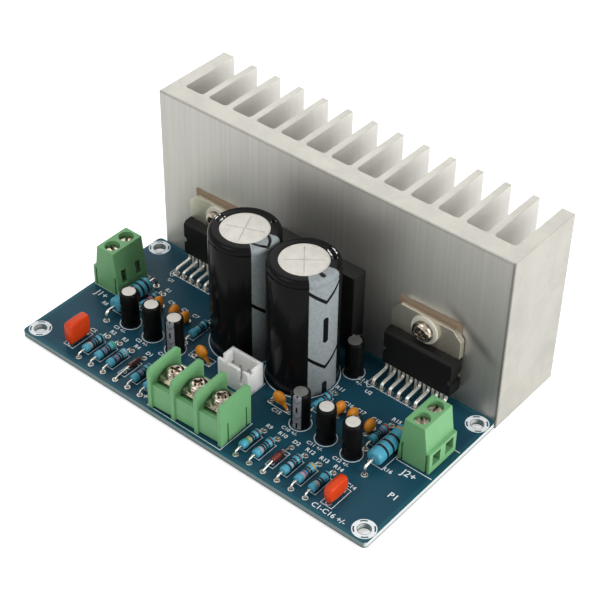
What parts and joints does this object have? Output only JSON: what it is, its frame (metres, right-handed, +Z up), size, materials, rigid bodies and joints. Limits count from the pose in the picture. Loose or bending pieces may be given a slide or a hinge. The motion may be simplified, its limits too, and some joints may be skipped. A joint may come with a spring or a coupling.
{
  "type": "audio amplifier board",
  "caption": "Stereo audio amplifier board: chips and a rectifier clamped to a finned heatsink at the back edge, large filter capacitors, signal header and screw terminals.",
  "frame": {"origin": "centre of the four mounting holes, on the underside of the circuit board", "axes": "+X to the right along the board, +Y towards the heatsink, +Z up out of the component side"},
  "size_m": [0.11, 0.0751, 0.0504],
  "materials": {
    "board_laminate": "satin solder mask over glass laminate",
    "solder": "bright solder",
    "sink_aluminium": "extruded, with fine vertical drawing lines",
    "screw_steel": "nickel plated",
    "bush_plastic": "moulded",
    "pad_silicone": "matt silicone cloth",
    "tab_metal": "nickel plated, matt",
    "moulding_black": "matt epoxy",
    "lead_tin": "tinned",
    "can_aluminium": "satin",
    "sleeve_black": "shrunk printed sleeve",
    "film_epoxy": "dipped epoxy",
    "ceramic_epoxy": "dipped epoxy",
    "resistor_lacquer": "lacquer with colour bands",
    "diode_glass": "glass body",
    "header_nylon": "moulded nylon",
    "terminal_green": "moulded polyamide",
    "contact_metal": "tinned brass"
  },
  "bodies": {
    "board": {"circuit_board": "board_laminate", "solder_joints": "solder", "heatsink": "sink_aluminium", "heatsink_screws": "screw_steel", "screw_bushes": "bush_plastic", "insulating_pad_left": "pad_silicone", "insulating_pad_right": "pad_silicone", "chip_tab_left": "tab_metal", "chip_tab_right": "tab_metal", "chip_moulding_left": "moulding_black", "chip_moulding_right": "moulding_black", "chip_leads_left": "lead_tin", "chip_leads_right": "lead_tin", "rectifier_body": "moulding_black", "rectifier_leads": "lead_tin", "filter_can_left": "can_aluminium", "filter_can_right": "can_aluminium", "filter_sleeve_left": "sleeve_black", "filter_sleeve_right": "sleeve_black", "small_capacitor_left_inner": "sleeve_black", "small_capacitor_left_middle": "sleeve_black", "small_capacitor_left_outer": "sleeve_black", "small_capacitor_right_inner": "sleeve_black", "small_capacitor_right_middle": "sleeve_black", "small_capacitor_right_outer": "sleeve_black", "supply_capacitor_left": "sleeve_black", "supply_capacitor_right": "sleeve_black", "film_capacitor_left": "film_epoxy", "film_capacitor_right": "film_epoxy", "ceramic_capacitors_left": "ceramic_epoxy", "ceramic_capacitors_right": "ceramic_epoxy", "resistors_left": "resistor_lacquer", "resistors_right": "resistor_lacquer", "power_resistor_left": "resistor_lacquer", "power_resistor_right": "resistor_lacquer", "diode_left": "diode_glass", "diode_right": "diode_glass", "header_housing": "header_nylon", "header_pins": "lead_tin", "output_housing_left": "terminal_green", "output_housing_right": "terminal_green", "output_contacts_left": "contact_metal", "output_contacts_right": "contact_metal", "strip_housing": "terminal_green", "strip_contacts": "contact_metal"},
    "clamp_screw_left_front": {"clamp_screw_left_front": "screw_steel"},
    "clamp_cage_left_front": {"clamp_cage_left_front": "contact_metal"},
    "clamp_screw_left_back": {"clamp_screw_left_back": "screw_steel"},
    "clamp_cage_left_back": {"clamp_cage_left_back": "contact_metal"},
    "clamp_screw_right_front": {"clamp_screw_right_front": "screw_steel"},
    "clamp_cage_right_front": {"clamp_cage_right_front": "contact_metal"},
    "clamp_screw_right_back": {"clamp_screw_right_back": "screw_steel"},
    "clamp_cage_right_back": {"clamp_cage_right_back": "contact_metal"},
    "strip_washer_left": {"strip_washer_left": "contact_metal"},
    "strip_screw_left": {"strip_screw_left": "screw_steel"},
    "strip_washer_middle": {"strip_washer_middle": "contact_metal"},
    "strip_screw_middle": {"strip_screw_middle": "screw_steel"},
    "strip_washer_right": {"strip_washer_right": "contact_metal"},
    "strip_screw_right": {"strip_screw_right": "screw_steel"}
  },
  "joints": [
    {"name": "turn_clamp_screw_left_front", "type": "hinge", "parent": "board", "child": "clamp_screw_left_front", "pos_m": [-0.0497, 0.00266, 0.0126], "axis": [0, 0, -1], "range_deg": [0, 1801]},
    {"name": "lift_clamp_cage_left_front", "type": "slide", "parent": "board", "child": "clamp_cage_left_front", "axis": [0, 0, 1], "range_m": [0, 0.0025]},
    {"name": "turn_clamp_screw_left_back", "type": "hinge", "parent": "board", "child": "clamp_screw_left_back", "pos_m": [-0.0497, 0.00774, 0.0126], "axis": [0, 0, -1], "range_deg": [0, 1801]},
    {"name": "lift_clamp_cage_left_back", "type": "slide", "parent": "board", "child": "clamp_cage_left_back", "axis": [0, 0, 1], "range_m": [0, 0.0025]},
    {"name": "turn_clamp_screw_right_front", "type": "hinge", "parent": "board", "child": "clamp_screw_right_front", "pos_m": [0.0483, 0.00346, 0.0126], "axis": [0, 0, -1], "range_deg": [0, 1801]},
    {"name": "lift_clamp_cage_right_front", "type": "slide", "parent": "board", "child": "clamp_cage_right_front", "axis": [0, 0, 1], "range_m": [0, 0.0025]},
    {"name": "turn_clamp_screw_right_back", "type": "hinge", "parent": "board", "child": "clamp_screw_right_back", "pos_m": [0.0483, 0.00854, 0.0126], "axis": [0, 0, -1], "range_deg": [0, 1801]},
    {"name": "lift_clamp_cage_right_back", "type": "slide", "parent": "board", "child": "clamp_cage_right_back", "axis": [0, 0, 1], "range_m": [0, 0.0025]},
    {"name": "lift_strip_washer_left", "type": "slide", "parent": "board", "child": "strip_washer_left", "axis": [0, 0, 1], "range_m": [0, 0.0024]},
    {"name": "turn_strip_screw_left", "type": "hinge", "parent": "strip_washer_left", "child": "strip_screw_left", "pos_m": [-0.00754, -0.01881, 0.0106], "axis": [0, 0, 1], "range_deg": [0, 1441]},
    {"name": "lift_strip_washer_middle", "type": "slide", "parent": "board", "child": "strip_washer_middle", "axis": [0, 0, 1], "range_m": [0, 0.0024]},
    {"name": "turn_strip_screw_middle", "type": "hinge", "parent": "strip_washer_middle", "child": "strip_screw_middle", "pos_m": [-0.0004, -0.0185, 0.0106], "axis": [0, 0, 1], "range_deg": [0, 1441]},
    {"name": "lift_strip_washer_right", "type": "slide", "parent": "board", "child": "strip_washer_right", "axis": [0, 0, 1], "range_m": [0, 0.0024]},
    {"name": "turn_strip_screw_right", "type": "hinge", "parent": "strip_washer_right", "child": "strip_screw_right", "pos_m": [0.00674, -0.01819, 0.0106], "axis": [0, 0, 1], "range_deg": [0, 1441]}
  ],
  "couplings": [
    {"joint": "turn_clamp_screw_left_front", "follows": "lift_clamp_cage_left_front", "rad_per_m": 12566},
    {"joint": "turn_clamp_screw_left_back", "follows": "lift_clamp_cage_left_back", "rad_per_m": 12566},
    {"joint": "turn_clamp_screw_right_front", "follows": "lift_clamp_cage_right_front", "rad_per_m": 12566},
    {"joint": "turn_clamp_screw_right_back", "follows": "lift_clamp_cage_right_back", "rad_per_m": 12566},
    {"joint": "turn_strip_screw_left", "follows": "lift_strip_washer_left", "rad_per_m": 10472},
    {"joint": "turn_strip_screw_middle", "follows": "lift_strip_washer_middle", "rad_per_m": 10472},
    {"joint": "turn_strip_screw_right", "follows": "lift_strip_washer_right", "rad_per_m": 10472}
  ]
}
